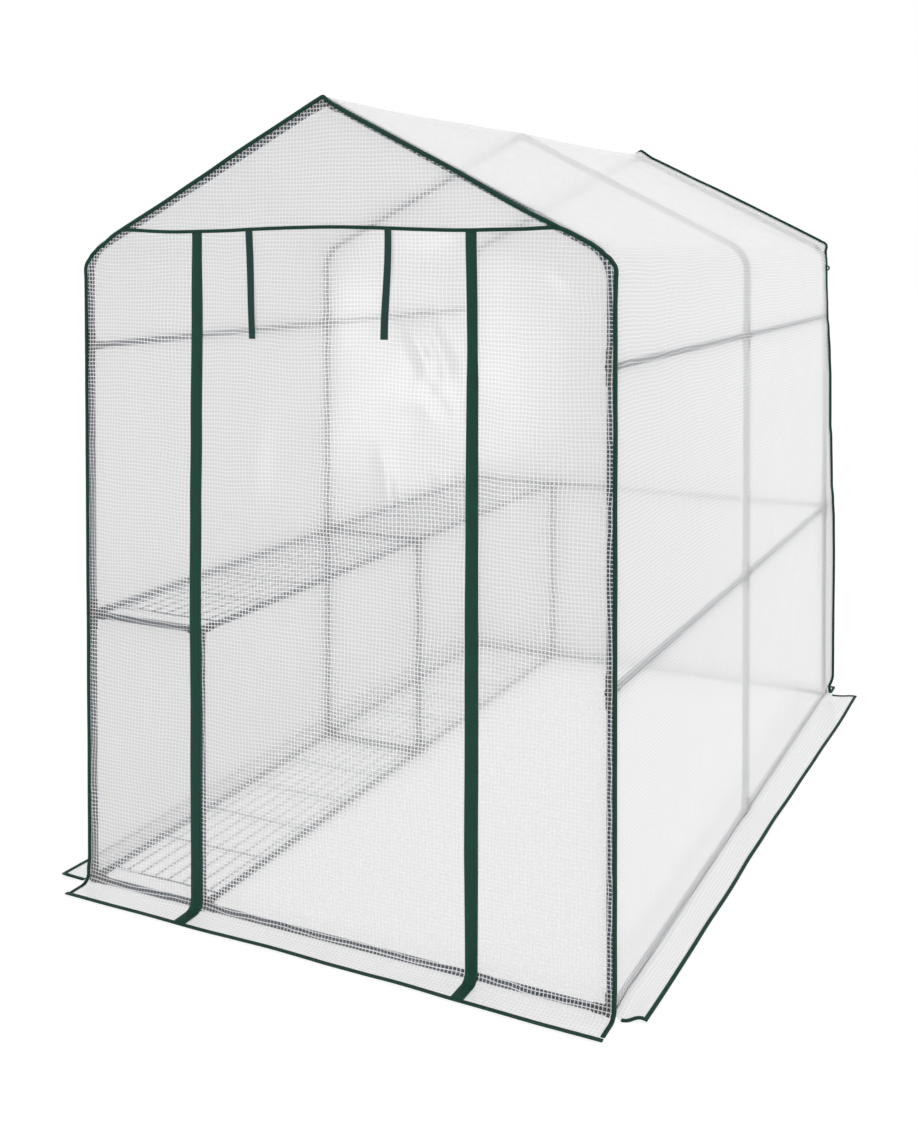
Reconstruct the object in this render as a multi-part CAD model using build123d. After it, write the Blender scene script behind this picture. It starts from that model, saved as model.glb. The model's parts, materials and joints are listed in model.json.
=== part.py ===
from build123d import *
import os
from math import atan2, cos, pi, sin, tan

# A walk-in film greenhouse: three bent steel hoops, push-fit joints, straight
# rails, a two-level wire shelf along the left wall, and a reinforced film cover
# with a zipped roll-up door. Millimetres. It stands on z = 0, the door faces -Y,
# and +X is on the right of someone looking at the door.

# Frame, measured between the centre lines of the tubes, which are drawn with twelve flats
frame_width = 1400.0
frame_depth = 2120.0
eave_height = 1593.0
ridge_rise = 352.0
middle_rail_height = 683.0
upper_rail_drop = 231.0
shelf_depth = 340.0
eave_bend_radius = 85.0
tube_diameter = 16.0
tube_sides = 12

# Push-fit joints, with eight-sided sockets
socket_sides = 8
socket_wall = 1.3
socket_clearance = 0.2
socket_grip = 27.0
socket_web = 1.5

# Wire shelves
wire_size = 3.0
weld_sink = 1.0
long_wire_count = 8
cross_wire_count = 6
shelf_end_gap = 12.0
shelf_side_gap = 20.0
cross_wire_overhang = 4.0

# Film cover
film_thickness = 1.5
film_clearance = 0.3
ridge_fold_radius = 1.25
eave_lap = 40.0
hem_height = 60.0
skirt_bend_radius = 24.0
skirt_reach = 95.0

# Door front
gable_height = 292.0
door_width = 748.0
zip_gap = 0.6
zip_strip_width = 33.0
zip_strip_thickness = 1.5
seam_tape_height = 8.0
seam_tape_thickness = 2.5
tie_left_offset = 211.0
tie_right_offset = 159.0
tie_width = 19.0
tie_thickness = 1.2
tie_length = 247.0

# Edge binding
binding_width = 8.0
binding_thickness = 3.0
tape_gap = 0.2

# One overrun serves every cut
cut_overrun = 50.0

# Worked out from the sizes above
half_width = frame_width / 2
half_depth = frame_depth / 2
tube_radius = tube_diameter / 2
bore_radius = tube_radius + socket_clearance
socket_radius = bore_radius + socket_wall
tube_stop = socket_radius + socket_web
socket_length = tube_stop + socket_grip
ground_height = socket_radius
ridge_height = eave_height + ridge_rise
upper_rail_height = eave_height - upper_rail_drop
seam_height = ridge_height - gable_height
pitch = atan2(ridge_rise, half_width)
shelf_x = shelf_depth - half_width
film_in = socket_radius + film_clearance
film_mid = film_in + film_thickness / 2
film_out = film_in + film_thickness
film_z = film_thickness / 2
hoop_y = [-half_depth, 0, half_depth]

UP = Vector(0, 0, 1)
DOWN = Vector(0, 0, -1)
RIGHT = Vector(1, 0, 0)
LEFT = Vector(-1, 0, 0)
BACK = Vector(0, 1, 0)
FRONT = Vector(0, -1, 0)


def save(name, solids):
    """Write the solids of one node."""
    export_step(Compound(children=list(solids)), f"parts/{name}.step")


def tube(start, end):
    """A straight tube between two joint centres, ending on the stops in their sockets."""
    axis = (end - start).normalized()
    length = (end - start).length - 2 * tube_stop
    section = RegularPolygon(tube_radius, tube_sides)
    return extrude(Plane(start + axis * tube_stop, z_dir=axis) * section, length)


def rafter(side, y):
    """The bent tube from an upper joint, round the eave and up to the ridge."""
    lean = Vector(side * cos(pitch), 0, -sin(pitch))
    points = [
        Vector(side * half_width, y, upper_rail_height + tube_stop),
        Vector(side * half_width, y, eave_height),
        Vector(0, y, ridge_height) + lean * tube_stop,
    ]
    path = FilletPolyline(points, radius=eave_bend_radius)
    return sweep(Plane(points[0], z_dir=UP) * RegularPolygon(tube_radius, tube_sides), path)


def prism(start, way, inner_radius, length):
    """An eight-sided bar from start along way, with flats towards the frame's axes."""
    across = RIGHT if way in (BACK, FRONT) else BACK
    half_side = 180 / socket_sides
    outline = RegularPolygon(inner_radius, socket_sides, major_radius=False, rotation=half_side)
    return extrude(Plane(start, x_dir=across, z_dir=way) * outline, length)


def bored(body, centre, directions):
    """The body with a socket bored towards each tube, down to the tube's stop."""
    for way in directions:
        body -= prism(centre + way * tube_stop, way, bore_radius, socket_grip + cut_overrun)
    return body


def joint(centre, directions):
    """A moulded joint with one socket towards each tube."""
    body = Solid()
    for way in directions:
        body += prism(centre - way * socket_radius, way, socket_radius, socket_radius + socket_length)
    return bored(body, centre, directions)


def ridge_joint(y):
    """The joint of two rafters, mitred under the ridge."""
    centre = Vector(0, y, ridge_height)
    slopes = [Vector(side * cos(pitch), 0, -sin(pitch)) for side in (-1, 1)]
    reach = 2 * socket_length
    body = Solid()
    for side, way in zip((-1, 1), slopes):
        half = Pos(centre + RIGHT * (side * reach)) * Box(2 * reach, 2 * reach, 2 * reach)
        body += prism(centre - way * socket_radius, way, socket_radius, socket_radius + socket_length) & half
    return bored(body, centre, slopes)


def post_point(side, y, z):
    return Vector(side * half_width, y, z)


def along(index):
    """Directions of the rails that meet a hoop of this index."""
    return [way for way, there in ((BACK, index < 2), (FRONT, index > 0)) if there]


def rails(x, z):
    """The two rails of one line, front bay and back bay."""
    ends = [Vector(x, y, z) for y in hoop_y]
    return [tube(ends[0], ends[1]), tube(ends[1], ends[2])]


# Posts, rails and side joints
for side, name in ((-1, "left"), (1, "right")):
    inward = RIGHT * -side
    posts = []
    joints = []
    for index, y in enumerate(hoop_y):
        ground = post_point(side, y, ground_height)
        middle = post_point(side, y, middle_rail_height)
        upper = post_point(side, y, upper_rail_height)
        posts += [tube(ground, middle), tube(middle, upper)]
        at_end = index != 1
        ground_inward = [inward] if side < 0 or at_end else []
        middle_inward = [inward] if side < 0 or index == 2 else []
        joints.append(joint(ground, [UP] + along(index) + ground_inward))
        joints.append(joint(middle, [UP, DOWN] + along(index) + middle_inward))
        joints.append(joint(upper, [UP, DOWN] + along(index)))
    save(f"{name}_posts", posts)
    save(f"{name}_joints", joints)
    save(f"{name}_ground_rails", rails(side * half_width, ground_height))
    save(f"{name}_middle_rails", rails(side * half_width, middle_rail_height))
    save(f"{name}_upper_rails", rails(side * half_width, upper_rail_height))

# Roof hoops
for name, y in zip(("front", "middle", "back"), hoop_y):
    save(f"{name}_rafters", [rafter(-1, y), rafter(1, y)])
save("ridge_joints", [ridge_joint(y) for y in hoop_y])


def end_rails(y, z):
    """The rail across one end, in two tubes with the shelf leg between them."""
    leg = Vector(shelf_x, y, z)
    return [tube(post_point(-1, y, z), leg), tube(leg, post_point(1, y, z))]


save("front_ground_rails", end_rails(-half_depth, ground_height))
save("back_ground_rails", end_rails(half_depth, ground_height))
save("back_middle_rails", end_rails(half_depth, middle_rail_height))

# Shelf stand along the left wall
legs = []
shelf_joints = []
for index, y in enumerate(hoop_y):
    foot = Vector(shelf_x, y, ground_height)
    head = Vector(shelf_x, y, middle_rail_height)
    legs.append(tube(foot, head))
    foot_inward = [RIGHT] if index != 1 else []
    head_inward = [RIGHT] if index == 2 else []
    shelf_joints.append(joint(foot, [UP, LEFT] + along(index) + foot_inward))
    shelf_joints.append(joint(head, [DOWN, LEFT] + along(index) + head_inward))
save("shelf_legs", legs)
save("shelf_joints", shelf_joints)
save("lower_shelf_rails", rails(shelf_x, ground_height))
save("upper_shelf_rails", rails(shelf_x, middle_rail_height))
cross_bars = [
    tube(post_point(-1, y, z), Vector(shelf_x, y, z))
    for y, z in ((-half_depth, middle_rail_height), (0, ground_height), (0, middle_rail_height))
]
save("shelf_cross_bars", cross_bars)


def wire_shelf(y_start, y_end, rail_height):
    """A welded wire grid that lies on the wall rail and the inner shelf rail."""
    first_y = y_start + socket_length + shelf_end_gap
    last_y = y_end - socket_length - shelf_end_gap
    first_x = -half_width + shelf_side_gap
    last_x = shelf_x - shelf_side_gap
    cross_z = rail_height + tube_radius + socket_clearance + wire_size / 2
    long_z = cross_z + wire_size - weld_sink
    cross_length = shelf_depth + 2 * cross_wire_overhang
    long_length = last_y - first_y + 2 * cross_wire_overhang
    cross_step = (last_y - first_y) / (cross_wire_count - 1)
    long_step = (last_x - first_x) / (long_wire_count - 1)
    grid = None
    for number in range(cross_wire_count):
        place = Pos(shelf_x - shelf_depth / 2, first_y + number * cross_step, cross_z)
        wire = place * Box(cross_length, wire_size, wire_size)
        grid = wire if grid is None else grid + wire
    for number in range(long_wire_count):
        place = Pos(first_x + number * long_step, (first_y + last_y) / 2, long_z)
        grid += place * Box(wire_size, long_length, wire_size)
    return grid


for name, z in (("lower", ground_height), ("upper", middle_rail_height)):
    bays = zip(hoop_y[:-1], hoop_y[1:])
    save(f"{name}_shelves", [wire_shelf(y_start, y_end, z) for y_start, y_end in bays])


def hoop_corners(offset):
    """Half width, eave height and ridge height of the hoop line moved out by offset."""
    half = half_width + offset
    ridge = ridge_height + offset / cos(pitch)
    return half, ridge - half * tan(pitch), ridge


def hoop_line(offset, y, bottom):
    """The hoop's outline, moved out by offset, from the left foot over the ridge to the right."""
    half, eave, ridge = hoop_corners(offset)
    points = [(-half, y, bottom), (-half, y, eave), (0, y, ridge), (half, y, eave), (half, y, bottom)]
    eave_radius = eave_bend_radius + offset
    ridge_radius = ridge_fold_radius + offset - film_in
    return FilletPolyline(points, radius=[eave_radius, ridge_radius, eave_radius])


def strip_along(path, width_way, width, thickness):
    """A flat strip swept along a path, its width lying along width_way."""
    start = Plane(path @ 0, x_dir=width_way, z_dir=path % 0)
    return sweep(start * Rectangle(width, thickness), path)


# Side walls with their ground skirts, and the roof over the ridge
half_mid, eave_mid, ridge_mid = hoop_corners(film_mid)
eave_tangent = (eave_bend_radius + film_mid) * tan((pi / 2 - pitch) / 2)
roof_start = eave_tangent + eave_lap
sheet_length = 2 * (half_depth + film_in)


def roof_edge(side):
    """Where a side wall's sheet ends on the roof slope, above the eave bend."""
    return (side * (half_mid - roof_start * cos(pitch)), 0, eave_mid + roof_start * sin(pitch))


for side, name in ((-1, "left"), (1, "right")):
    points = [
        (side * (half_width + skirt_reach), 0, film_z),
        (side * half_mid, 0, film_z),
        (side * half_mid, 0, eave_mid),
        roof_edge(side),
    ]
    path = FilletPolyline(points, radius=[skirt_bend_radius, eave_bend_radius + film_mid])
    save(f"{name}_wall_sheet", [strip_along(path, BACK, sheet_length, film_thickness)])

fold_radius = ridge_fold_radius + film_thickness / 2
roof_path = FilletPolyline([roof_edge(-1), (0, 0, ridge_mid), roof_edge(1)], radius=fold_radius)
save("roof_sheet", [strip_along(roof_path, BACK, sheet_length, film_thickness)])

# End panels, each with its ground skirt
half_out, eave_out, ridge_out = hoop_corners(film_out)


def end_wall(way, inner, thickness):
    """A flat sheet over one end, from the hem up, way being -1 at the front and 1 at the back."""
    outline = hoop_line(film_out, way * (half_depth + inner), hem_height)
    face = make_face([*outline.edges(), Line(outline @ 1, outline @ 0)])
    return extrude(face, thickness, dir=BACK * way)


def end_skirt(way, left, right, lift, thickness):
    """The hem and skirt of one end between two X places, lift being its height over the film."""
    y = way * (half_depth + film_mid + lift)
    z = film_z + lift
    x = (left + right) / 2
    points = [(x, y, hem_height), (x, y, z), (x, way * (half_depth + skirt_reach), z)]
    path = FilletPolyline(points, radius=skirt_bend_radius - lift)
    return strip_along(path, RIGHT, right - left, thickness)


def window(left, right, bottom, top):
    """A block that cuts one panel out of an end wall."""
    size = (right - left, frame_depth + 2 * (film_out + cut_overrun), top - bottom)
    return Pos((left + right) / 2, 0, (bottom + top) / 2) * Box(*size)


def front_panel(left, right):
    """One film panel of the front below the seam, with its piece of skirt."""
    cut = window(left, right, hem_height - cut_overrun, seam_height)
    wall = end_wall(-1, film_in, film_thickness) & cut
    return wall + end_skirt(-1, left, right, 0, film_thickness)


door_edge = door_width / 2 - zip_gap / 2
panel_edge = door_width / 2 + zip_gap / 2
above = window(-half_out - cut_overrun, half_out + cut_overrun, seam_height, ridge_out + cut_overrun)
save("front_gable", [end_wall(-1, film_in, film_thickness) & above])
save("front_left_panel", [front_panel(-half_out, -panel_edge)])
save("front_right_panel", [front_panel(panel_edge, half_out)])
save("roll_up_door", [front_panel(-door_edge, door_edge)])
back_wall = end_wall(1, film_in, film_thickness)
save("back_panel", [back_wall + end_skirt(1, -half_out, half_out, 0, film_thickness)])

# Zip strips over the door's edges, from the seam tape down and out over the skirt
front_face = -half_depth - film_out
tape_bottom = seam_height - seam_tape_height / 2
strip_lift = film_thickness / 2 + tape_gap + zip_strip_thickness / 2
strip_y = -half_depth - film_mid - strip_lift


def zip_strip(x):
    left = x - zip_strip_width / 2
    right = x + zip_strip_width / 2
    lower = end_skirt(-1, left, right, strip_lift, zip_strip_thickness)
    size = (zip_strip_width, zip_strip_thickness, tape_bottom - hem_height)
    upper = Pos(x, strip_y, (tape_bottom + hem_height) / 2) * Box(*size)
    return lower + upper


save("door_zip_strips", [zip_strip(-door_width / 2), zip_strip(door_width / 2)])

# Seam tape across the front, ending at the hoop's outline, and the two door ties under it
tape_top = seam_height + seam_tape_height / 2
tape_cut = window(-half_out - cut_overrun, half_out + cut_overrun, tape_bottom, tape_top)
save("front_seam_tape", [end_wall(-1, film_out, seam_tape_thickness) & tape_cut])
tie_y = front_face - tape_gap - tie_thickness / 2
ties = [
    Pos(x, tie_y, tape_bottom - tie_length / 2) * Box(tie_width, tie_thickness, tie_length)
    for x in (-tie_left_offset, tie_right_offset)
]
save("door_ties", ties)

# Binding along the two hoop outlines
for way, name in ((-1, "front"), (1, "back")):
    bottom = film_z + skirt_bend_radius
    line = hoop_line(film_out + tape_gap + binding_width / 2, way * (half_depth + film_mid), bottom)
    save(f"{name}_edge_binding", [strip_along(line, BACK, binding_thickness, binding_width)])


def skirt_binding(turn, half_length, wall, edge):
    """Binding on three edges of one skirt, wall and edge being its distances from the middle."""
    flat = wall + film_mid + skirt_bend_radius
    rim = edge + binding_width
    outer = Pos(0, (flat + rim) / 2) * Rectangle(2 * (half_length + binding_width), rim - flat)
    inner = Pos(0, (flat + edge) / 2) * Rectangle(2 * half_length, edge - flat)
    return Rot(0, 0, turn) * extrude(outer - inner, binding_thickness)


end_sizes = (half_out, half_depth, half_depth + skirt_reach)
side_sizes = (sheet_length / 2, half_width, half_width + skirt_reach)
bindings = [skirt_binding(turn, *end_sizes) for turn in (0, 180)]
bindings += [skirt_binding(turn, *side_sizes) for turn in (90, 270)]
save("skirt_bindings", bindings)
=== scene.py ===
import json
from math import acos, atan2, cos, pi, radians, sin, tan

import bpy
import numpy as np
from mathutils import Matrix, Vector, noise


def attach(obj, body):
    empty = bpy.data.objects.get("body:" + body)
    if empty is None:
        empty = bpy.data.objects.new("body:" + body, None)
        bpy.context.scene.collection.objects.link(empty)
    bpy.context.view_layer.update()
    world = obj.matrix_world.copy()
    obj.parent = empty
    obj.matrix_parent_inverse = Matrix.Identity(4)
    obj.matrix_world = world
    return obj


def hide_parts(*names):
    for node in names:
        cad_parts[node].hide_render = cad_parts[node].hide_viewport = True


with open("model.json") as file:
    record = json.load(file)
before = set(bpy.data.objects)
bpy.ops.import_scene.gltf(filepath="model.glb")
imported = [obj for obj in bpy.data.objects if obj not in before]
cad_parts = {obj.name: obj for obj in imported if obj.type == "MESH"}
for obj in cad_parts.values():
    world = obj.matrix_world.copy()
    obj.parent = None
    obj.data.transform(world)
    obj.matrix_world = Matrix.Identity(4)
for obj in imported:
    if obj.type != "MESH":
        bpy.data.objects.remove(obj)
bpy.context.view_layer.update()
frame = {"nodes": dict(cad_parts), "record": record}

# Sizes in metres, as the solids have them
HALF_WIDTH = 0.700
HALF_DEPTH = 1.060
EAVE_HEIGHT = 1.593
RIDGE_HEIGHT = 1.945
PITCH = atan2(RIDGE_HEIGHT - EAVE_HEIGHT, HALF_WIDTH)
EAVE_RADIUS = 0.085
MIDDLE_RAIL = 0.683
UPPER_RAIL = 1.362
SEAM_HEIGHT = 1.653
DOOR_HALF = 0.374
FILM_OFFSET = 0.01055
FILM_LIFT = 0.0009
SKIRT_RADIUS = 0.024
RIDGE_FOLD = 0.006
ZIP_GAP = 0.0006

# How far the skirts reach past the tubes' middles: the side ones, then the front (-1) and the back (1)
SKIRT_EDGE = 0.095
END_SKIRT_EDGE = {-1: 0.078, 1: 0.092}

# The film's mesh: length of a step, and counts of steps round bends and of rows and columns
STEP = 0.012
EAVE_STEPS = 18
SKIRT_STEPS = 7
FOLD_STEPS = 4
COVER_COLUMNS = 118
UPPER_ROWS = 14
GABLE_ROWS = 18

# The cover's ends and the end panels' sides keep this gap where they meet
EDGE_GAP = 0.0003
END_Y = HALF_DEPTH + FILM_OFFSET
SHEET_END = END_Y - EDGE_GAP


def smooth(value):
    """Smooth step from 0 to 1."""
    t = np.clip(value, 0.0, 1.0)
    return t * t * (3 - 2 * t)


def eased(x, places, values):
    """Values at x, going smoothly from one listed place to the next."""
    places = np.asarray(places, float)
    values = np.asarray(values, float)
    x = np.clip(x, places[0], places[-1])
    i = np.clip(np.searchsorted(places, x, side="right") - 1, 0, len(places) - 2)
    t = smooth((x - places[i]) / (places[i + 1] - places[i]))
    return values[i] + (values[i + 1] - values[i]) * t


def field(a, b, scale, seed):
    """Smooth noise between about -1 and 1 over two coordinates."""
    a, b = np.broadcast_arrays(a, b)
    flat = [
        noise.noise(Vector((p * scale, q * scale, seed)))
        for p, q in zip(a.ravel(), b.ravel())
    ]
    return np.array(flat).reshape(a.shape)


def creased(a, b, scale, seed):
    """Sharp-edged noise between about -1 and 1, like film that was folded."""
    return 1 - 2.6 * np.abs(field(a, b, scale, seed))


def rounded_line(corners, radii, steps):
    """Points along a line of straight runs whose inner corners are rounded."""
    corners = [np.array(c, float) for c in corners]
    points = [corners[0]]
    for i in range(1, len(corners) - 1):
        here = corners[i]
        back = corners[i - 1] - here
        on = corners[i + 1] - here
        back /= np.linalg.norm(back)
        on /= np.linalg.norm(on)
        half = acos(np.clip(back @ on, -1, 1)) / 2
        radius = radii[i - 1]
        reach = radius / tan(half)
        middle = here + (back + on) / np.linalg.norm(back + on) * radius / sin(half)
        first = here + back * reach - middle
        last = here + on * reach - middle
        turn = pi - 2 * half
        run_to(points, middle + first)
        for k in range(1, steps[i - 1] + 1):
            t = k / steps[i - 1]
            arm = (first * sin((1 - t) * turn) + last * sin(t * turn)) / sin(turn)
            points.append(middle + arm)
    run_to(points, corners[-1])
    return np.array(points)


def run_to(points, end):
    """Add points along a straight run to the list, up to the end."""
    start = points[-1]
    count = max(1, int(np.ceil(np.linalg.norm(end - start) / STEP)))
    for k in range(1, count + 1):
        points.append(start + (end - start) * k / count)


def lengths_along(points):
    """Length along a line at each of its points."""
    gaps = np.linalg.norm(np.diff(points, axis=0), axis=1)
    return np.concatenate([[0.0], np.cumsum(gaps)])


def left_normals(points):
    """Unit normals on the left of a flat line."""
    way = np.gradient(points, axis=0)
    way /= np.linalg.norm(way, axis=1)[:, None]
    return np.stack([-way[:, 1], way[:, 0]], axis=1)


def hoop_corners(offset):
    """Half width, eave height and ridge height of the hoop's outline at an offset."""
    half = HALF_WIDTH + offset
    ridge = RIDGE_HEIGHT + offset / cos(PITCH)
    return half, ridge - half * tan(PITCH), ridge


def outline_height(x, offset):
    """Height of the hoop's outline over a place across the front."""
    half, _, ridge = hoop_corners(offset)
    radius = EAVE_RADIUS + offset
    slope = ridge - np.abs(x) * tan(PITCH)
    start = half - radius + radius * sin(PITCH)
    centre_z = ridge - start * tan(PITCH) - radius * cos(PITCH)
    inner = np.clip(np.abs(x) - (half - radius), 0, radius)
    bend = centre_z + np.sqrt(np.maximum(radius**2 - inner**2, 0))
    return np.where(np.abs(x) > start, bend, slope)


# Meshes


def add_object(name, mesh, material):
    """A smooth piece that rides on the part's one body."""
    item = bpy.data.objects.new(name, mesh)
    bpy.context.scene.collection.objects.link(item)
    mesh.materials.append(material)
    for face in mesh.polygons:
        face.use_smooth = True
    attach(item, "root")
    return item


def grid_faces(rows, columns, first=0, closed=False):
    """Faces of a grid of points, row by row."""
    faces = []
    turns = columns if closed else columns - 1
    for i in range(rows - 1):
        for j in range(turns):
            k = (j + 1) % columns
            a = first + i * columns
            faces.append((a + j, a + k, a + columns + k, a + columns + j))
    return faces


def mesh_of(name, points, faces, places):
    """A mesh with a UV map in metres, places being one UV for each point."""
    mesh = bpy.data.meshes.new(name)
    mesh.from_pydata([tuple(p) for p in points], [], faces)
    layer = mesh.uv_layers.new(name="UVMap")
    index = np.zeros(len(mesh.loops), np.int32)
    mesh.loops.foreach_get("vertex_index", index)
    layer.data.foreach_set("uv", np.asarray(places, np.float32)[index].ravel())
    mesh.validate()
    mesh.update()
    return mesh


def sheet_mesh(name, points, u, v, flip=False):
    """A mesh of one sheet from a grid of points, with u and v its flat places."""
    rows, columns = points.shape[:2]
    faces = grid_faces(rows, columns)
    if flip:
        faces = [face[::-1] for face in faces]
    places = np.stack(np.broadcast_arrays(u, v), axis=-1).reshape(-1, 2)
    return mesh_of(name, points.reshape(-1, 3), faces, places)


def strip_data(path, across, section):
    """Points, faces and UVs of a strip with a closed section along a path.

    across is the direction of the section's width at each point of the path, and the
    section's second coordinate stands on the other side of the path's direction.
    """
    way = np.gradient(path, axis=0)
    way /= np.linalg.norm(way, axis=1)[:, None]
    up = np.cross(across, way)
    up /= np.linalg.norm(up, axis=1)[:, None]
    section = np.array(section, float)
    points = (
        path[:, None, :]
        + across[:, None, :] * section[None, :, :1]
        + up[:, None, :] * section[None, :, 1:]
    )
    rows, columns = points.shape[:2]
    faces = grid_faces(rows, columns, closed=True)
    faces = [face[::-1] for face in faces]
    faces.append(tuple(range(columns)))
    faces.append(tuple(reversed(range((rows - 1) * columns, rows * columns))))
    along = lengths_along(path)
    u = np.broadcast_to(section[None, :, 0], (rows, columns))
    v = np.broadcast_to(along[:, None], (rows, columns))
    places = np.stack([u, v], axis=-1).reshape(-1, 2)
    return points.reshape(-1, 3), faces, places


def joined(name, parts):
    """One mesh of several strips."""
    points, faces, places = [], [], []
    start = 0
    for part_points, part_faces, part_places in parts:
        points.append(part_points)
        places.append(part_places)
        faces += [tuple(start + i for i in face) for face in part_faces]
        start += len(part_points)
    return mesh_of(name, np.concatenate(points), faces, np.concatenate(places))


# Materials


class Nodes:
    """Short calls for building the nodes of one material or world."""

    def __init__(self, owner):
        self.owner = owner
        owner.use_nodes = True
        self.tree = owner.node_tree
        self.tree.nodes.clear()

    def add(self, kind, settings=None, **sockets):
        node = self.tree.nodes.new(kind)
        for key, value in (settings or {}).items():
            setattr(node, key, value)
        for key, value in sockets.items():
            self.put(node, key.replace("_", " "), value)
        return node

    def put(self, node, key, value):
        if key.startswith("in"):
            socket = node.inputs[int(key[2:])]
        else:
            socket = node.inputs[key]
        if isinstance(value, bpy.types.NodeSocket):
            self.tree.links.new(value, socket)
        else:
            socket.default_value = value

    def math(self, operation, a, b=0.0, c=0.0):
        node = self.add("ShaderNodeMath", {"operation": operation}, in0=a, in1=b, in2=c)
        return node.outputs[0]

    def vector(self, operation, a, b=(0, 0, 0)):
        node = self.add("ShaderNodeVectorMath", {"operation": operation}, in0=a, in1=b)
        return node.outputs[0]

    def between(self, value, low, high, start=0.0, end=1.0):
        node = self.add(
            "ShaderNodeMapRange",
            {"interpolation_type": "SMOOTHSTEP"},
            in0=value,
            in1=low,
            in2=high,
            in3=start,
            in4=end,
        )
        return node.outputs[0]

    def noise(self, place, scale, detail=3.0, roughness=0.5):
        node = self.add(
            "ShaderNodeTexNoise", Vector=place, Scale=scale, Detail=detail, Roughness=roughness
        )
        return node.outputs[0]

    def colour(self, share, first, second):
        node = self.add("ShaderNodeMix", {"data_type": "RGBA"}, in0=share, in6=first, in7=second)
        return node.outputs[2]

    def mixed(self, share, first, second):
        node = self.add("ShaderNodeMix", {"data_type": "FLOAT"}, in0=share, in2=first, in3=second)
        return node.outputs[0]

    def bump(self, height, distance, strength=1.0):
        node = self.add("ShaderNodeBump", Height=height, Distance=distance, Strength=strength)
        return node.outputs[0]

    def seen_rays(self):
        """1 for rays of the camera, also through film or off a gloss, and 0 for rays that light surfaces."""
        ray = self.add("ShaderNodeLightPath")
        through = self.math("MAXIMUM", ray.outputs["Is Glossy Ray"], ray.outputs["Is Transmission Ray"])
        return self.math("MAXIMUM", ray.outputs["Is Camera Ray"], through)

    def finish(self, shader, kind="ShaderNodeOutputMaterial"):
        output = self.tree.nodes.new(kind)
        self.tree.links.new(shader, output.inputs["Surface"])
        return self.owner


def rgb(red, green, blue):
    return (red, green, blue, 1.0)


# The film: its threads, the wide and the narrow blur of its cells, and their tint
THREAD_PITCH = 0.0092
THREAD_SHARE = 0.23
FILM_IOR = 1.024
NARROW_IOR = 1.0032
NARROW_SHARE = 0.38
FILM_TINT = rgb(0.83, 0.83, 0.83)


def film_material():
    """Film that blurs what stands off it, with a grid of white threads laid into it."""
    n = Nodes(bpy.data.materials.new("reinforced_film"))
    place = n.add("ShaderNodeUVMap", {"uv_map": "UVMap"}).outputs[0]
    slow = n.add("ShaderNodeTexNoise", Vector=place, Scale=4.5, Detail=0.0).outputs[1]
    quick = n.add("ShaderNodeTexNoise", Vector=place, Scale=20.0, Detail=0.0).outputs[1]
    drift = n.vector("ADD", n.vector("MULTIPLY", slow, (0.018, 0.018, 0.0)),
                     n.vector("MULTIPLY", quick, (0.0045, 0.0045, 0.0)))
    moved = n.vector("ADD", place, drift)
    scaled = n.vector("MULTIPLY", moved, (1 / THREAD_PITCH, 1 / THREAD_PITCH, 0.0))
    cell = n.vector("ABSOLUTE", n.vector("SUBTRACT", n.vector("FRACTION", scaled), (0.5, 0.5, 0.0)))
    split = n.add("ShaderNodeSeparateXYZ", in0=cell)
    edge = 0.5 - THREAD_SHARE / 2
    threads = [n.between(split.outputs[k], edge - 0.04, edge + 0.04) for k in (0, 1)]
    thread = n.math("MAXIMUM", *threads)
    cloud = n.noise(place, 3.5, 3.0)
    slant = n.add("ShaderNodeLayerWeight", Blend=0.5).outputs["Facing"]
    haze = n.between(cloud, 0.3, 0.7, 0.015, 0.04)
    haze = n.math("MULTIPLY_ADD", n.math("POWER", slant, 3.0), 1.0, haze)
    haze = n.math("MINIMUM", haze, 0.5)
    opacity = n.mixed(thread, haze, 0.97)
    through = n.between(thread, 0.0, 1.0, 0.75, 0.45)
    white = n.colour(thread, rgb(0.93, 0.93, 0.94), rgb(0.985, 0.985, 0.985))
    rough = n.between(cloud, 0.3, 0.7, 0.16, 0.26)
    normal = n.bump(n.noise(place, 60.0, 1.0), 0.0002, 0.5)
    matt = n.add("ShaderNodeBsdfDiffuse", Color=white, Normal=normal)
    glow = n.add("ShaderNodeBsdfTranslucent", Color=white, Normal=normal)
    body = n.add("ShaderNodeMixShader", in0=through, in1=matt.outputs[0], in2=glow.outputs[0])
    wide, narrow = [
        n.add("ShaderNodeBsdfGlass", {"distribution": "MULTI_GGX"}, Color=FILM_TINT, Roughness=1.0, IOR=ior)
        for ior in (FILM_IOR, NARROW_IOR)
    ]
    clear = n.add("ShaderNodeMixShader", in0=NARROW_SHARE, in1=wide.outputs[0], in2=narrow.outputs[0])
    film = n.add("ShaderNodeMixShader", in0=opacity, in1=clear.outputs[0], in2=body.outputs[0])
    shine = n.add("ShaderNodeBsdfGlossy", Color=rgb(1, 1, 1), Roughness=rough, Normal=normal)
    glance = n.math("MULTIPLY_ADD", n.math("POWER", slant, 5.0), 0.6, 0.036)
    coated = n.add("ShaderNodeMixShader", in0=glance, in1=film.outputs[0], in2=shine.outputs[0])
    return n.finish(coated.outputs[0])


# Woven tape, in metres
RIB_PITCH = 0.0016
WARP_PITCH = 0.0011
STITCH_PITCH = 0.0042


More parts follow.
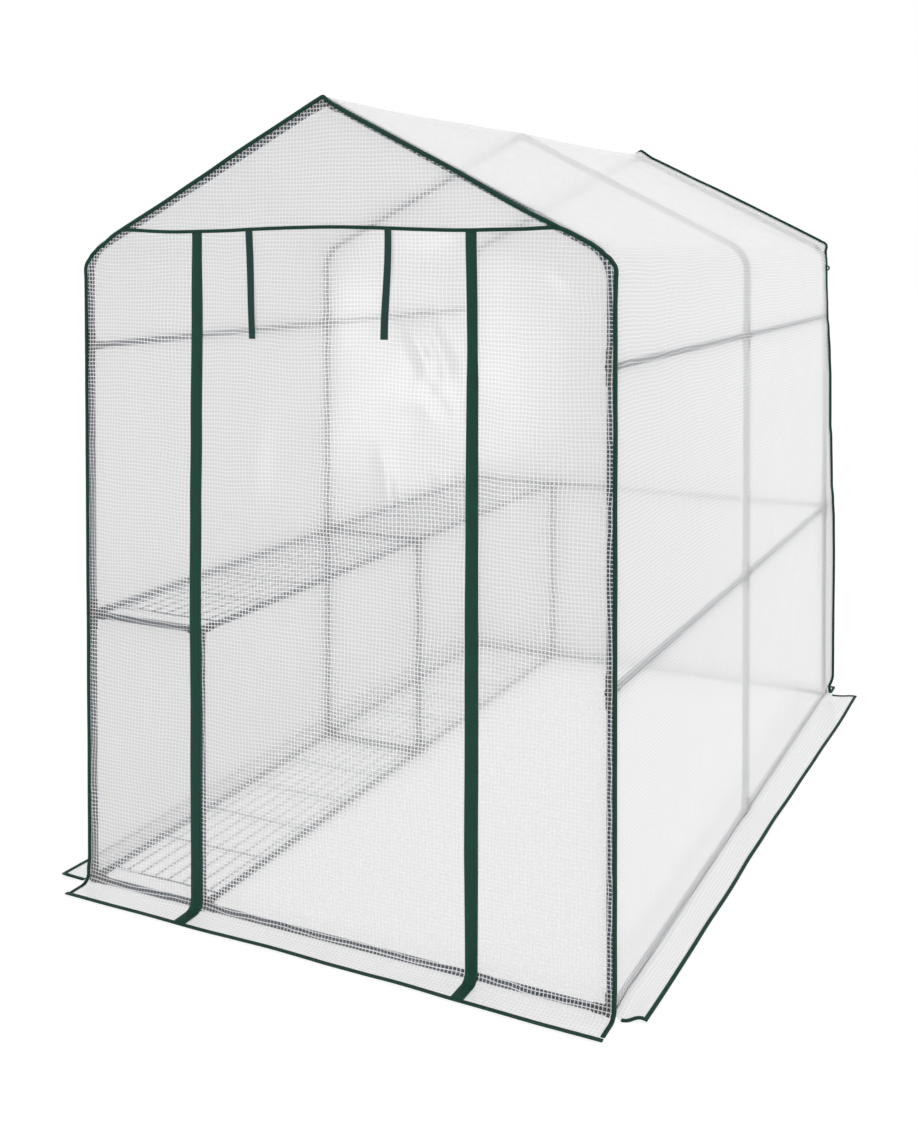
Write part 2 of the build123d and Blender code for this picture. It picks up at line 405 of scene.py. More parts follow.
def fabric_material(name, dark, light, stitch_at, rib=RIB_PITCH):
    """Woven tape with ribs across it, and two rows of stitches off its middle."""
    n = Nodes(bpy.data.materials.new(name))
    place = n.add("ShaderNodeUVMap", {"uv_map": "UVMap"}).outputs[0]
    split = n.add("ShaderNodeSeparateXYZ", in0=place)
    across, along = split.outputs[0], split.outputs[1]
    rib_wave = n.math("SINE", n.math("MULTIPLY", along, 2 * pi / rib))
    warp_wave = n.math("SINE", n.math("MULTIPLY", across, 2 * pi / WARP_PITCH))
    weave = n.math("MULTIPLY", rib_wave, warp_wave)
    cloud = n.noise(place, 26.0, 4.0)
    fibre = n.noise(place, 900.0, 2.0)
    share = n.math("ADD", n.math("MULTIPLY", weave, 0.16), n.math("MULTIPLY", fibre, 0.5))
    share = n.math("ADD", share, n.math("MULTIPLY", cloud, 0.55))
    share = n.between(share, 0.2, 0.9)
    colour = n.colour(share, dark, light)
    height = n.math("ADD", n.math("MULTIPLY", weave, 0.5), fibre)
    off_row = n.math("ABSOLUTE", n.math("SUBTRACT", n.math("ABSOLUTE", across), stitch_at))
    row = n.between(off_row, 0.0004, 0.0008, 1.0, 0.0)
    place_in_stitch = n.math("FRACT", n.math("MULTIPLY", along, 1 / STITCH_PITCH))
    off_middle = n.math("ABSOLUTE", n.math("SUBTRACT", place_in_stitch, 0.5))
    dash = n.between(off_middle, 0.28, 0.36, 1.0, 0.0)
    stitch = n.math("MULTIPLY", row, dash)
    colour = n.colour(n.math("MULTIPLY", stitch, 0.6), colour, rgb(0.06, 0.16, 0.12))
    height = n.math("ADD", height, n.math("MULTIPLY", stitch, 2.0))
    normal = n.bump(height, 0.0003)
    tape = n.add(
        "ShaderNodeBsdfPrincipled",
        Base_Color=colour,
        Roughness=n.between(cloud, 0.3, 0.7, 0.55, 0.75),
        Normal=normal,
        Specular_IOR_Level=0.2,
    )
    return n.finish(tape.outputs[0])


def paint_material(name, base, worn, rough, bump_scale):
    """Coated steel or moulded plastic with small changes of tone and gloss."""
    n = Nodes(bpy.data.materials.new(name))
    place = n.add("ShaderNodeTexCoord").outputs["Object"]
    cloud = n.noise(place, 9.0, 4.0)
    grain = n.noise(place, bump_scale, 3.0, 0.6)
    speck = n.between(n.noise(place, 160.0, 2.0), 0.62, 0.72)
    colour = n.colour(n.between(cloud, 0.3, 0.75), base, worn)
    colour = n.colour(n.math("MULTIPLY", speck, 0.25), colour, rgb(0.12, 0.125, 0.13))
    shade = n.add(
        "ShaderNodeBsdfPrincipled",
        Base_Color=colour,
        Roughness=n.between(cloud, 0.25, 0.75, rough - 0.07, rough + 0.08),
        Normal=n.bump(grain, 0.0002, 0.5),
        Specular_IOR_Level=0.3,
    )
    return n.finish(shade.outputs[0])


film = film_material()
binding = fabric_material("green_binding", rgb(0.003, 0.030, 0.019), rgb(0.009, 0.062, 0.040), 0.0055)
# Zip tape: the binding's green made lighter, as painted sheen for the sheen the strips catch
zip_tape = fabric_material("zip_tape", rgb(0.004, 0.034, 0.022), rgb(0.012, 0.078, 0.052), 0.0140)
webbing = fabric_material("tie_webbing", rgb(0.008, 0.032, 0.028), rgb(0.022, 0.070, 0.062), 0.0078, 0.0022)
paint = paint_material("frame_paint", rgb(0.005, 0.024, 0.052), rgb(0.010, 0.034, 0.068), 0.42, 420.0)
wire = paint_material("wire_coating", rgb(0.21, 0.23, 0.27), rgb(0.28, 0.30, 0.34), 0.45, 600.0)
moulded = paint_material("moulded_plastic", rgb(0.012, 0.013, 0.016), rgb(0.02, 0.021, 0.025), 0.55, 900.0)

chosen = {"frame_paint": paint, "shelf_wire": wire, "joint_plastic": moulded}
for node in frame["record"]["subparts"]:
    item = frame["nodes"][node["node"]]
    if node["material_slot"] in chosen:
        item.data.materials.clear()
        item.data.materials.append(chosen[node["material_slot"]])


# Cover over the two side walls and the roof, in one sheet

half_mid, eave_mid, ridge_mid = hoop_corners(FILM_OFFSET)
EDGE_X = HALF_WIDTH + SKIRT_EDGE
side_line = rounded_line(
    [
        (-EDGE_X, FILM_LIFT),
        (-half_mid, FILM_LIFT),
        (-half_mid, eave_mid),
        (0, ridge_mid),
        (half_mid, eave_mid),
        (half_mid, FILM_LIFT),
        (EDGE_X, FILM_LIFT),
    ],
    [SKIRT_RADIUS, EAVE_RADIUS + FILM_OFFSET, RIDGE_FOLD, EAVE_RADIUS + FILM_OFFSET, SKIRT_RADIUS],
    [SKIRT_STEPS, EAVE_STEPS, FOLD_STEPS, EAVE_STEPS, SKIRT_STEPS],
)
side_out = left_normals(side_line)
side_length = lengths_along(side_line)
cover_length = side_length[-1]

climb = np.minimum(side_length, cover_length - side_length)
down = np.abs(side_length - cover_length / 2)
on_right = side_length > cover_length / 2

# The way in which slack film moves: square to the section, but straight down at the fold over the ridge
at_ridge = smooth(1.6 - down / 0.05)[:, None]
slack_way = side_out * (1 - at_ridge) + np.array([[0.0, 1.0]]) * at_ridge

# How far the bound edges of the front (-1) and the back (1) stand off the hoop's line, on the left (False)
# and on the right (True), by the length down from the ridge
EDGE_STANDS = {
    (-1, False): ([0, 0.05, 0.26, 0.41, 0.53, 0.69, 0.735, 0.765, 0.79, 0.82, 0.85, 1.0, 2.4],
                  [0.0060, 0.0065, 0.0060, 0.0032, 0.0015, 0.0022, -0.0035, -0.0030, 0.0005, 0.0062,
                   0.0037, 0.0037, 0.0045]),
    (-1, True): ([0, 0.02, 0.10, 0.35, 0.56, 0.66, 0.69, 0.75, 0.78, 0.80, 0.815, 0.84, 0.90, 2.4],
                 [0.0060, 0.0010, 0.0, 0.0015, -0.0020, 0.0, 0.0025, 0.0028, 0.0060, 0.0130, 0.0165,
                  0.0130, 0.0120, 0.0120]),
    (1, False): ([0, 0.05, 0.3, 2.4], [0.0240, 0.0165, 0.0080, 0.0060]),
    (1, True): ([0, 0.05, 0.20, 0.35, 0.55, 0.7365, 0.7532, 0.7703, 0.7920, 0.8087, 1.065, 1.15, 1.24,
                 1.41, 1.45, 1.62, 1.67, 1.75, 1.88, 2.18, 2.4],
                [0.0240, 0.0165, 0.0180, 0.0210, 0.0225, 0.0225, 0.0237, 0.0283, 0.0101, 0.0085, 0.0085,
                 0.0120, 0.0150, 0.0156, 0.0190, 0.0220, 0.0260, 0.0290, 0.0305, 0.0290, 0.0280]),
}
# Under the back right eave the bound seam comes round the post on to the side wall, by the same length
SEAM_WANDER = ([0.7703, 0.7920, 0.8087, 0.8253, 0.842, 0.89, 0.98, 1.02, 1.065, 1.15],
               [0.0, 0.004, 0.027, 0.041, 0.048, 0.045, 0.031, 0.027, 0.004, 0.0])
# Where along the depth the cover starts to turn towards its bound edge, inwards and outwards
EDGE_START = 1.0635
LOOSE_START = 0.97


def edge_turn(way):
    """How far one end's edge leaves the cover's section, at each point of the section."""
    stands = [eased(down, *EDGE_STANDS[way, right]) for right in (False, True)]
    return (np.where(on_right, stands[1], stands[0]) - FILM_OFFSET) * smooth((climb - 0.085) / 0.06)


def edge_line(way):
    """One end's edge as a line in x and z."""
    return side_line + slack_way * edge_turn(way)[:, None]


# How far the film sags between the hoops, by its length up from the outer edge of the skirt
SKIRT_CLIMB = 0.066
EAVE_CLIMB = cover_length / 2 - 0.70
SAG_PLACES = [0, 0.10, 0.40, SKIRT_CLIMB + MIDDLE_RAIL, 1.09, SKIRT_CLIMB + UPPER_RAIL, EAVE_CLIMB,
              EAVE_CLIMB + 0.36, cover_length / 2]
SAG_DEPTHS = [0, 0, 0.006, 0.0, 0.006, 0.0, 0.010, 0.014, 0.009]

# The cover's columns: even ones between the end hoops, and closer ones at its bound edges
EVEN_END = 1.052
ENDS = [EDGE_START, 1.0668, SHEET_END]
even_y = np.linspace(-EVEN_END, EVEN_END, COVER_COLUMNS)
cover_y = np.concatenate([[-y for y in ENDS[::-1]], even_y, ENDS])

# Length of the outer part of the skirts that lies loose
SKIRT_LOOSE = 0.075


def skirt_lift(a, b, seed):
    """How far a loose skirt stands up off the ground, over two coordinates."""
    return 0.0035 * np.maximum(0, field(a, b, 5.0, seed) + 0.25)


def cover_points(y):
    """The cover's points along its section at places y, as a grid of rows along the section."""
    y = np.asarray(y, float)[None, :]
    length = side_length[:, None]
    up = climb[:, None]
    bay = np.abs(np.sin(pi * np.clip(y / HALF_DEPTH, -1, 1)))
    right = on_right[:, None] * 1.0
    strength = 0.85 + 0.25 * np.sin(2.1 * np.sign(y) + 1.7 * right)
    sag = eased(up, SAG_PLACES, SAG_DEPTHS) * bay * strength
    free = smooth((up - 0.12) / 0.1) * np.sqrt(bay)
    crumple = 0.0024 * field(length, y, 3.2, 1.5) + 0.0010 * creased(length, y, 2.4, 7.3)
    crumple = crumple + 0.0009 * field(length, y, 11.0, 2.5)
    shift = crumple * free - sag
    for way in (-1, 1):
        turn = edge_turn(way)[:, None]
        tight = smooth((way * y - EDGE_START) / (SHEET_END - EDGE_START))
        loose = smooth((way * y - LOOSE_START) / (SHEET_END - LOOSE_START))
        shift = shift + np.minimum(turn, 0) * tight + np.maximum(turn, 0) * loose
    points = np.zeros(shift.shape + (3,))
    points[..., 0] = side_line[:, :1] + slack_way[:, :1] * shift
    points[..., 1] = y
    points[..., 2] = side_line[:, 1:] + slack_way[:, 1:] * shift
    outer = smooth(1 - up / SKIRT_LOOSE)
    points[..., 2] += skirt_lift(length, y, 3.1) * outer
    side = np.sign(points[..., 0])
    reach = eased(y, [-1.05, -0.30, 1.07], [-0.016, -0.008, 0.018]) * right
    points[..., 0] += side * outer * (reach + 0.002 * field(0 * length + right * 5, y, 4.0, 9.0))
    corner = smooth((np.abs(y) - 0.90) / 0.17) * outer
    pull = np.where(right * (y < 0) > 0, -0.020 * outer, 0.003)
    points[..., 1] += np.sign(y) * corner * (pull + 0.005 * np.sin(up * 70 + 2 * right))
    points[..., 2] += corner * 0.005 * (0.5 + 0.5 * np.sin(up * 75))
    return points


cover = cover_points(cover_y)
cover_mesh = sheet_mesh("roof_and_side_cover", cover, side_length[:, None], cover_y[None, :], flip=True)
cover_piece = add_object("roof_and_side_cover", cover_mesh, film)
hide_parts("left_wall_sheet", "right_wall_sheet", "roof_sheet")

# End walls. Their film leaves the flat plane by front_shift or back_shift, outwards


def edge_room(x, z):
    """Distance inside the outline of an end wall."""
    return np.minimum(half_mid - np.abs(x), outline_height(x, FILM_OFFSET) - z)


# Crests of the front's folds: how far they stand out, how wide they are and where they run in x and z
FOLDS = [
    (0.0050, 0.018, [(0.143, 1.206), (0.166, 1.090), (0.184, 0.957), (0.204, 0.775)]),
    (0.0045, 0.020, [(0.180, 1.494), (0.231, 1.428), (0.266, 1.359), (0.288, 1.290)]),
    (0.0045, 0.020, [(0.246, 1.500), (0.308, 1.387), (0.338, 1.260)]),
    (0.0030, 0.018, [(0.300, 1.150), (0.318, 1.050), (0.322, 0.960)]),
    (0.0022, 0.016, [(0.640, 1.350), (0.680, 1.285)]),
    (0.0025, 0.016, [(0.625, 0.890), (0.668, 0.810)]),
    (0.0030, 0.020, [(0.545, 1.590), (0.690, 1.480)]),
    (0.0030, 0.014, [(-0.380, 1.770), (-0.349, 1.668)]),
    (0.0024, 0.014, [(-0.219, 1.730), (-0.210, 1.664)]),
    (0.0030, 0.024, [(-0.560, 1.480), (-0.575, 1.200), (-0.600, 1.000)]),
    (0.0025, 0.022, [(-0.470, 0.560), (-0.500, 0.240)]),
    (0.0026, 0.030, [(-0.160, 1.320), (-0.200, 0.950), (-0.180, 0.700)]),
    (0.0024, 0.026, [(0.020, 0.560), (0.060, 0.220)]),
]


def crest(x, z, places, width):
    """How near points lie to a fold's crest, from 0 to 1."""
    places = np.array(places[::-1])
    middle = np.interp(z, places[:, 1], places[:, 0])
    fade = 0.45 * (places[-1, 1] - places[0, 1])
    ends = smooth((z - places[0, 1]) / fade) * smooth((places[-1, 1] - z) / fade)
    return np.exp(-((x - middle) / width) ** 2) * ends


def front_shift(x, z):
    """How far the front's film stands out from its plane."""
    x, z = np.broadcast_arrays(np.asarray(x, float), np.asarray(z, float))
    room = smooth((edge_room(x, z) - 0.015) / 0.10) * smooth((z - 0.07) / 0.12)
    seam = 1 - 0.8 * np.exp(-((z - SEAM_HEIGHT) / 0.04) ** 2)
    strip = 1 - 0.55 * np.exp(-((np.abs(x) - DOOR_HALF) / 0.04) ** 2)
    door = smooth((DOOR_HALF + 0.02 - np.abs(x)) / 0.10)
    big = (0.0035 + 0.0035 * door) * field(x, z, 1.9, 11.0)
    small = 0.0014 * field(x, z, 6.5, 4.0) + 0.0012 * creased(x, z, 2.6, 17.0)
    patch = 0.0035 * np.exp(-(((x - 0.50) / 0.05) ** 2) - ((z - 1.03) / 0.06) ** 2)
    folds = sum(height * crest(x, z, places, width) for height, width, places in FOLDS)
    crushed = np.exp(-(((x - 0.29) / 0.09) ** 2) - ((z - 1.33) / 0.15) ** 2)
    pucker = 0.0022 * crushed * field(x, z, 24.0, 2.0)
    shift = (big + small + patch + folds + pucker) * room * seam * strip
    behind = smooth((-0.30 - x) / 0.05) * smooth((0.80 - z) / 0.1)
    least = -0.008 * (1 - behind) - 0.001 * behind
    return np.maximum(shift, least)


def back_shift(x, z):
    """How far the back's film stands out from its plane."""
    x, z = np.broadcast_arrays(np.asarray(x, float), np.asarray(z, float))
    room = smooth((edge_room(x, z) - 0.02) / 0.12) * smooth((z - 0.07) / 0.12)
    rail = smooth(np.abs(z - MIDDLE_RAIL) / 0.2)
    shift = 0.004 * field(x, z, 2.0, 31.0) + 0.0018 * field(x, z, 6.0, 5.0)
    shift = shift + 0.0010 * creased(x, z, 2.5, 21.0) - 0.003 * rail
    return np.maximum(shift * room, -0.001 - 0.008 * rail)


# The end walls' rows are level up to this height, and reach for the edge or the seam above it
TOP_FIX = 1.40
PANEL_X = half_mid + EDGE_GAP
end_lines = {}
end_lengths = {}
for way, reach in END_SKIRT_EDGE.items():
    end_lines[way] = rounded_line(
        [(-HALF_DEPTH - reach, FILM_LIFT), (-END_Y, FILM_LIFT), (-END_Y, TOP_FIX)],
        [SKIRT_RADIUS],
        [SKIRT_STEPS],
    )
    end_lengths[way] = lengths_along(end_lines[way])

# Where the left (-1) and the right (1) zip strip run, as a shift from their straight place, by height
STRIP_RUNS = {
    -1: ([0, 0.39, 0.78, 0.976, 1.17, 1.46, 1.65], [0.005, 0.0045, 0.0045, 0.008, 0.0116, 0.0147, 0.0147]),
    1: ([0, 0.25, 0.50, 0.86, 1.20, 1.39, 1.65], [0.006, 0.005, 0.0059, 0.0063, 0.0085, 0.0095, 0.0064]),
}


def strip_shift(side, z):
    """How far one zip strip leaves its straight place at a height."""
    return eased(z, *STRIP_RUNS[side])


def near_strip(side, x):
    """How much of a strip's shift the film beside it follows, from 0 to 1."""
    return smooth(1.0 - np.abs(x - side * DOOR_HALF) / 0.16)


def edge_top(way, x):
    """Height of one end's edge over a place across it."""
    line = edge_line(way)
    line = line[line[:, 1] > EAVE_HEIGHT - 0.025]
    return np.interp(x, line[:, 0], line[:, 1])


def end_across(way, x, z):
    """Where the points of an end wall's columns lie across it at a height."""
    line = edge_line(way)
    moved = x
    for side in (-1, 1):
        post = line[(line[:, 0] * side > 0) & (line[:, 1] < EAVE_HEIGHT - 0.06) & (line[:, 1] > 0.02)]
        post = post[np.argsort(post[:, 1])]
        shift = np.interp(z, post[:, 1], post[:, 0]) - side * PANEL_X
        moved = moved + shift * smooth((side * x - 0.60) / (PANEL_X - 0.60))
        if way < 0:
            moved = moved + strip_shift(side, z) * near_strip(side, x)
    return moved


def end_points(x, way, highest):
    """An end wall's points from the skirt's edge up, a row for each height."""
    x = np.asarray(x, float)
    upper = np.linspace(0, 1, UPPER_ROWS + 1)[1:]
    line = end_lines[way]
    base = line.shape[0]
    rows = base + len(upper)
    points = np.zeros((rows, len(x), 3))
    points[:base, :, 1] = line[:, :1]
    points[:base, :, 2] = line[:, 1:]
    points[:base, :, 0] = end_across(way, x[None, :], line[:, 1:])
    last = points[base - 1, :, 0]
    points[base:, :, 0] = last[None, :]
    points[base:, :, 1] = -END_Y
    tops = np.minimum(highest, edge_top(way, last))
    points[base:, :, 2] = TOP_FIX + (tops[None, :] - TOP_FIX) * upper[:, None]
    if way < 0:
        for side in (-1, 1):
            more = strip_shift(side, points[base:, :, 2]) - strip_shift(side, TOP_FIX)
            points[base:, :, 0] += more * near_strip(side, x[None, :])
    shift = front_shift if way < 0 else back_shift
    z = points[:, :, 2]
    points[:, :, 1] -= np.where(z > SKIRT_RADIUS, shift(points[:, :, 0], z), 0)
    length = np.zeros((rows, 1))
    length[:base, 0] = end_lengths[way]
    grid_v = np.broadcast_to(length, (rows, len(x))).copy()
    grid_v[base:] = end_lengths[way][-1] + points[base:, :, 2] - TOP_FIX
    outer = smooth(1 - grid_v / SKIRT_LOOSE)
    points[:, :, 2] += skirt_lift(points[:, :, 0], grid_v, 13.0 + way) * outer
    points[:, :, 1] += outer * 0.002 * field(points[:, :, 0], 0 * grid_v, 4.0, 19.0 + way)
    if way < 0:
        points[:, :, 1] -= outer * 0.010 * smooth((points[:, :, 0] - 0.1) / 0.5)
    points[:, :, 1] *= -way
    return points, grid_v


def spaced(low, high):
    """Even places from low to high, about a step apart."""
    count = max(2, int(np.ceil((high - low) / STEP)))
    return np.linspace(low, high, count + 1)


panels = [
    ("front_left_film", "front_left_panel", -PANEL_X, -DOOR_HALF - ZIP_GAP / 2),
    ("door_film", "roll_up_door", -DOOR_HALF + ZIP_GAP / 2, DOOR_HALF - ZIP_GAP / 2),
    ("front_right_film", "front_right_panel", DOOR_HALF + ZIP_GAP / 2, PANEL_X),
]
for name, node, low, high in panels:
    x = spaced(low, high)
    points, v = end_points(x, -1, SEAM_HEIGHT)
    mesh = sheet_mesh(name, points, x[None, :], v)
    add_object(name, mesh, film)
    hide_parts(node)

x = spaced(-PANEL_X, PANEL_X)
points, v = end_points(x, 1, RIDGE_HEIGHT + 1)
back_mesh = sheet_mesh("back_film", points, x[None, :], v, flip=True)
back_piece = add_object("back_film", back_mesh, film)
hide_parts("back_panel")

front_line = edge_line(-1)
above = front_line[front_line[:, 1] > SEAM_HEIGHT]
gable_left, gable_right = above[0, 0], above[-1, 0]
gable_half = (gable_right - gable_left) / 2
x = spaced(gable_left, gable_right)
share = np.linspace(0, 1, GABLE_ROWS)[:, None]
tops = edge_top(-1, x)[None, :]
z = SEAM_HEIGHT + (np.maximum(tops, SEAM_HEIGHT + 0.0008) - SEAM_HEIGHT) * share
points = np.zeros(z.shape + (3,))
points[..., 0] = x[None, :]
points[..., 1] = -END_Y - front_shift(x[None, :], z)
points[..., 2] = z
gable_mesh = sheet_mesh("gable_film", points, x[None, :], z)
gable_piece = add_object("gable_film", gable_mesh, film)
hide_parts("front_gable")

# Binding along the two hoop outlines and on down the ends of the end skirts

# The section of a tape folded round the film's edge, as widths and heights
FOLDED_TAPE = [(-0.002, -0.0014), (0.0055, -0.0015), (0.0075, -0.0009), (0.008, 0.0),
               (0.0075, 0.0009), (0.0055, 0.0015), (-0.002, 0.0014)]


def edge_path(way):
    """The edge of one end's skirt and outline, and the direction across its tape."""
    line = edge_line(way)
    above = line[:, 1] > SKIRT_RADIUS + 0.004
    line = line[above]
    wave = 0.0008 * field(line[:, 0], line[:, 1], 7.0, 40.0 + way)
    out = left_normals(line)
    line = line + out * wave[:, None]
    y = np.full(len(line), way * (END_Y + 0.0008))
    if way > 0:
        y = y - eased(down, *SEAM_WANDER)[above] * on_right[above]
    hoop = np.stack([line[:, 0], y, line[:, 1]], axis=1)
    across = np.stack([out[:, 0], 0 * out[:, 0], out[:, 1]], axis=1)
    foot = end_lines[way][end_lines[way][:, 1] < SKIRT_RADIUS]
    ends = []
    for side, at in ((-1, line[0, 0]), (1, line[-1, 0])):
        run = np.stack([np.full(len(foot), at), foot[:, 0] * -way, foot[:, 1] + 0.0012], axis=1)
        ends.append(run if side < 0 else run[::-1])
    path = np.concatenate([ends[0], hoop, ends[1]])
    sides = [np.tile([[-1.0, 0, 0]], (len(foot), 1)), across, np.tile([[1.0, 0, 0]], (len(foot), 1))]
    return path, np.concatenate(sides)


LOOP_TAPE = [(-0.005, -0.002), (0.005, -0.002), (0.005, 0.002), (-0.005, 0.002)]
LOOP_HEIGHT = EAVE_HEIGHT - 0.058
LOOP_Y = END_Y - 0.047
LOOP_POINTS = 13


def loop_run():
    """A small loop sewn to the back edge just under the right eave."""
    line = edge_line(1)
    post = line[(line[:, 0] > 0) & (line[:, 1] > 1.3) & (line[:, 1] < EAVE_HEIGHT - 0.02)][::-1]
    start = np.interp(LOOP_HEIGHT, post[:, 1], post[:, 0]) + 0.0075
    turn = np.linspace(-pi / 2, pi / 2, LOOP_POINTS)
    x = start + 0.0065 * np.cos(turn)
    z = LOOP_HEIGHT + 0.007 * np.sin(turn)
    path = np.stack([x, np.full(LOOP_POINTS, LOOP_Y), z], axis=1)
    across = np.tile([[0.0, 1.0, 0.0]], (LOOP_POINTS, 1))
    return strip_data(path, across, LOOP_TAPE)


for way, name in ((-1, "front"), (1, "back")):
    runs = [strip_data(*edge_path(way), FOLDED_TAPE)]
    if way > 0:
        runs.append(loop_run())
    mesh = joined(f"{name}_binding", runs)
    add_object(f"{name}_binding", mesh, binding)
    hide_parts(f"{name}_edge_binding")

# Binding round the outer edges of the skirts


def flat_across(path, side):
    """Directions away from the film along a line on the ground, longer at its corners."""
    steps = np.diff(path[:, :2], axis=0)
    steps /= np.linalg.norm(steps, axis=1)[:, None]
    before = np.vstack([steps[:1], steps])
    after = np.vstack([steps, steps[-1:]])
    normals = [np.stack([s[:, 1], -s[:, 0]], axis=1) * side for s in (before, after)]
    total = normals[0] + normals[1]
    across = total / (1 + np.sum(normals[0] * normals[1], axis=1))[:, None]
    return np.hstack([across, np.zeros((len(path), 1))])


# The end skirts' tapes run on over their outlines' bindings by this much
TAPE_END = 0.0085

tape_runs = []
on_skirt = climb < SKIRT_CLIMB
for side in (-1, 1):
    rows = np.flatnonzero(on_skirt & (np.sign(side_line[:, 0]) == side))
    if side > 0:
        rows = rows[::-1]
    outer = rows[0]
    first = cover[rows[::-1], 0]
    edge = cover[outer, 1:-1]
    last = cover[rows, -1]
    path = np.vstack([first, edge, last]) + np.array([0, 0, 0.0012])
    tape_runs.append(strip_data(path, flat_across(path, -side), FOLDED_TAPE))
for way in (-1, 1):
    x = spaced(-PANEL_X - TAPE_END, PANEL_X + TAPE_END)
    inner = np.clip(x, -PANEL_X, PANEL_X)
    points, _ = end_points(inner, way, RIDGE_HEIGHT + 1)
    path = points[0].copy()
    path[:, 0] += x - inner
    path[:, 2] += 0.0014
    tape_runs.append(strip_data(path, flat_across(path, -way), FOLDED_TAPE))
skirt_tape = add_object("skirt_binding", joined("skirt_binding", tape_runs), binding)
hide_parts("skirt_bindings")

# Zip strips over the door's edges

ZIP_SECTION = [(-0.0165, 0.0), (-0.0163, 0.0009), (-0.0152, 0.0012), (-0.0112, 0.0012), (-0.0098, 0.0019),
               (-0.0065, 0.0024), (-0.0033, 0.0025), (-0.0010, 0.0020), (0.0010, 0.0020), (0.0033, 0.0025),
               (0.0065, 0.0024), (0.0098, 0.0019), (0.0112, 0.0012), (0.0152, 0.0012), (0.0163, 0.0009),
               (0.0165, 0.0)]

# How far the left and the right strip run on past the skirt, and their widths by height as shares
STRIP_PAST = {-1: 0.003, 1: 0.011}
STRIP_WIDTHS = {
    -1: ([0, 0.2, 0.4, 0.8, 1.17, 1.46, 1.65], [1.02, 1.02, 1.03, 1.04, 1.04, 1.0, 0.88]),
    1: ([0, 0.3, 0.7, 1.04, 1.3, 1.39, 1.65], [0.94, 1.04, 1.02, 0.95, 0.88, 0.78, 0.82]),
}


def zip_path(side):
    """The middle of one zip strip, from the seam down and out to the skirt's edge."""
    end = -HALF_DEPTH - END_SKIRT_EDGE[-1] - STRIP_PAST[side]
    line = rounded_line(
        [(-END_Y, SEAM_HEIGHT - 0.003), (-END_Y, FILM_LIFT), (end, FILM_LIFT)],
        [SKIRT_RADIUS],
        [SKIRT_STEPS * 2],
    )
    out = left_normals(line)
    z = line[:, 1]
    x = side * DOOR_HALF + strip_shift(side, z)
    drape = smooth((z - 0.05) / 0.1)
    ripple = 0.0012 * field(x, z, 9.0, 60.0 + side) * drape
    line = line - out * (0.0006 + 0.0014 * (1 - drape) + ripple + front_shift(x, z) * drape)[:, None]
    return np.stack([x, line[:, 0], line[:, 1]], axis=1)


zip_runs = []
for side in (-1, 1):
    path = zip_path(side)
    wide = eased(path[:, 2], *STRIP_WIDTHS[side])
    across = np.stack([-wide, 0 * wide, 0 * wide], axis=1)
    zip_runs.append(strip_data(path, across, ZIP_SECTION))
zip_piece = add_object("zip_strips", joined("zip_strips", zip_runs), zip_tape)
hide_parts("door_zip_strips")

# Seam tape across the front

SEAM_SECTION = [(-0.0042, 0.0010), (-0.0036, 0.0018), (0.0036, 0.0018), (0.0042, 0.0010),
                (0.0040, -0.0010), (-0.0040, -0.0010)]
seam_half = gable_half + 0.004
seam_middle = (gable_left + gable_right) / 2
x = spaced(seam_middle - seam_half, seam_middle + seam_half)
drop = 0.0045 * np.cos(x / seam_half * pi * 1.5) + 0.0012 * field(x, 0 * x, 8.0, 70.0)
seam_z = SEAM_HEIGHT + drop * smooth((seam_half - np.abs(x - seam_middle)) / 0.08)
path = np.stack([x, -END_Y - front_shift(x, seam_z) - 0.0016, seam_z], axis=1)
across = np.tile([[0.0, 0.0, 1.0]], (len(path), 1))
seam_mesh = joined("seam_tape", [strip_data(path, across, SEAM_SECTION)])
seam_piece = add_object("seam_tape", seam_mesh, binding)
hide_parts("front_seam_tape")

# Ties that hang from the seam: where they start across the door, how far they lean and how long they are

TIES = {"left": (-0.205, 0.010, 0.258), "right": (0.1725, -0.011, 0.250)}
TIE_SECTION = [(-0.0095, 0.0), (-0.0092, 0.0007), (-0.006, 0.0010), (0.0, 0.0012), (0.006, 0.0010),
               (0.0092, 0.0007), (0.0095, 0.0), (0.0, 0.0003)]
for name, (start, lean, length) in TIES.items():
    drop = np.linspace(0, length, 32)
    z = SEAM_HEIGHT + 0.001 - drop
    x = start + lean * smooth(drop / length) + 0.001 * np.sin(drop * 22)
    stand = 0.0030 + 0.0016 * np.sin(drop * 19 + start * 40) * smooth(drop / 0.06)
    path = np.stack([x, -END_Y - front_shift(x, z) - stand, z], axis=1)
    twist = 0.10 * np.sin(drop * 11 + start * 9)
    across = np.stack([-np.cos(twist), np.sin(twist), 0 * twist], axis=1)
    mesh = joined(f"door_tie_{name}", [strip_data(path, across, TIE_SECTION)])
    tie = add_object(f"door_tie_{name}", mesh, webbing)
    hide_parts("door_ties")

# Floor, light and camera


def floor_material():
    """White ground that keeps the shadow, and is near white as seen, also through film or in a gloss."""
    n = Nodes(bpy.data.materials.new("white_ground"))
    matt = n.add("ShaderNodeBsdfDiffuse", Color=rgb(0.93, 0.93, 0.93))
    shade = n.add("ShaderNodeBsdfDiffuse", Color=rgb(0.24, 0.24, 0.24))
    white = n.add("ShaderNodeEmission", Color=rgb(1, 1, 1), Strength=0.82)
    seen = n.add("ShaderNodeAddShader", in0=shade.outputs[0], in1=white.outputs[0])
    both = n.add("ShaderNodeMixShader", in0=n.seen_rays(), in1=matt.outputs[0], in2=seen.outputs[0])
    return n.finish(both.outputs[0])


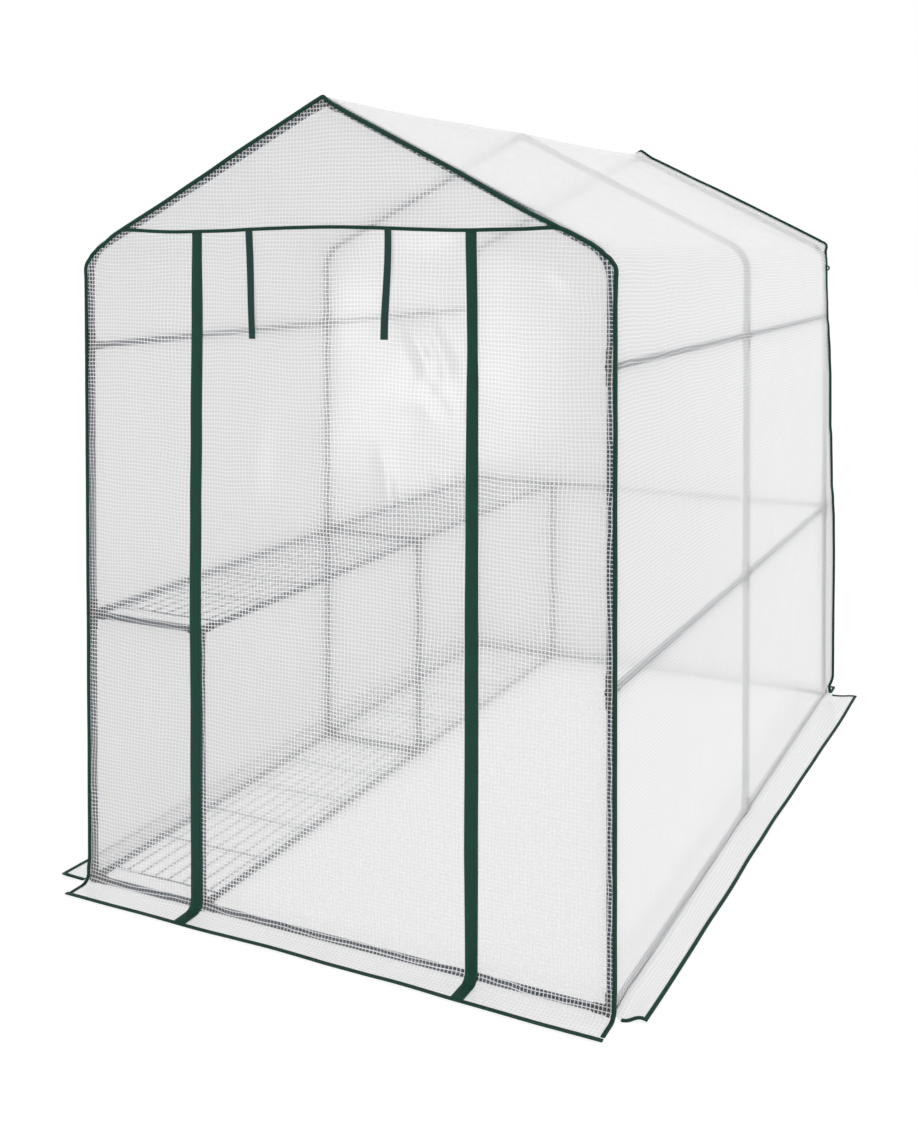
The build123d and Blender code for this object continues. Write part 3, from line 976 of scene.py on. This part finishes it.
FLOOR_HALF = 40.0
FLOOR_HEIGHT = -0.0006
ground = bpy.data.meshes.new("ground")
corners = [(x * FLOOR_HALF, y * FLOOR_HALF, FLOOR_HEIGHT) for x, y in ((-1, -1), (1, -1), (1, 1), (-1, 1))]
ground.from_pydata(corners, [], [(0, 1, 2, 3)])
ground.materials.append(floor_material())
floor = bpy.data.objects.new("ground", ground)
bpy.context.scene.collection.objects.link(floor)

# An even white room: as strong as white where it is seen, and a little weaker where it lights surfaces
WORLD_SEEN = 1.0
WORLD_LIGHT = 0.88
n = Nodes(bpy.data.worlds.new("studio"))
light = n.add("ShaderNodeBackground", Color=rgb(1.0, 1.0, 1.0), Strength=WORLD_LIGHT)
seen = n.add("ShaderNodeBackground", Color=rgb(1.0, 1.0, 1.0), Strength=WORLD_SEEN)
both = n.add("ShaderNodeMixShader", in0=n.seen_rays(), in1=light.outputs[0], in2=seen.outputs[0])
bpy.context.scene.world = n.finish(both.outputs[0], "ShaderNodeOutputWorld")


def area_light(name, place, target, size, power):
    """A soft lamp at a place, turned to a target."""
    data = bpy.data.lights.new(name, "AREA")
    data.shape = "RECTANGLE"
    data.size, data.size_y = size
    data.energy = power
    lamp = bpy.data.objects.new(name, data)
    lamp.location = place
    lamp.rotation_mode = "QUATERNION"
    lamp.rotation_quaternion = (Vector(target) - Vector(place)).to_track_quat("-Z", "Y")
    bpy.context.scene.collection.objects.link(lamp)


area_light("front_softbox", (-1.50, -4.4, 0.95), (0.2, -1.0, 1.0), (0.7, 1.1), 12.5)
area_light("right_softbox", (4.5, 0.5, 2.2), (0.7, 0.2, 0.9), (3.0, 2.5), 40.0)

# The photograph's size in pixels, with the focal length and the middle of the lens that were fitted to it
PIXELS_HIGH = 1131.0
PIXELS_WIDE = 918.0
FOCAL_PIXELS = 1294.11
MIDDLE_X = 540.47
MIDDLE_Y = 270.0
SENSOR = 36.0
view = bpy.data.cameras.new("camera")
view.sensor_width = SENSOR
view.lens = FOCAL_PIXELS / PIXELS_HIGH * SENSOR
view.shift_x = (PIXELS_WIDE / 2 - MIDDLE_X) / PIXELS_HIGH
view.shift_y = (MIDDLE_Y - PIXELS_HIGH / 2) / PIXELS_HIGH
camera = bpy.data.objects.new("camera", view)
camera.location = (1.6675, -3.5674, 1.6159)
camera.rotation_euler = (radians(88.901), 0.0, radians(24.21))
bpy.context.scene.collection.objects.link(camera)
bpy.context.scene.camera = camera
bpy.context.scene.view_settings.view_transform = "Standard"
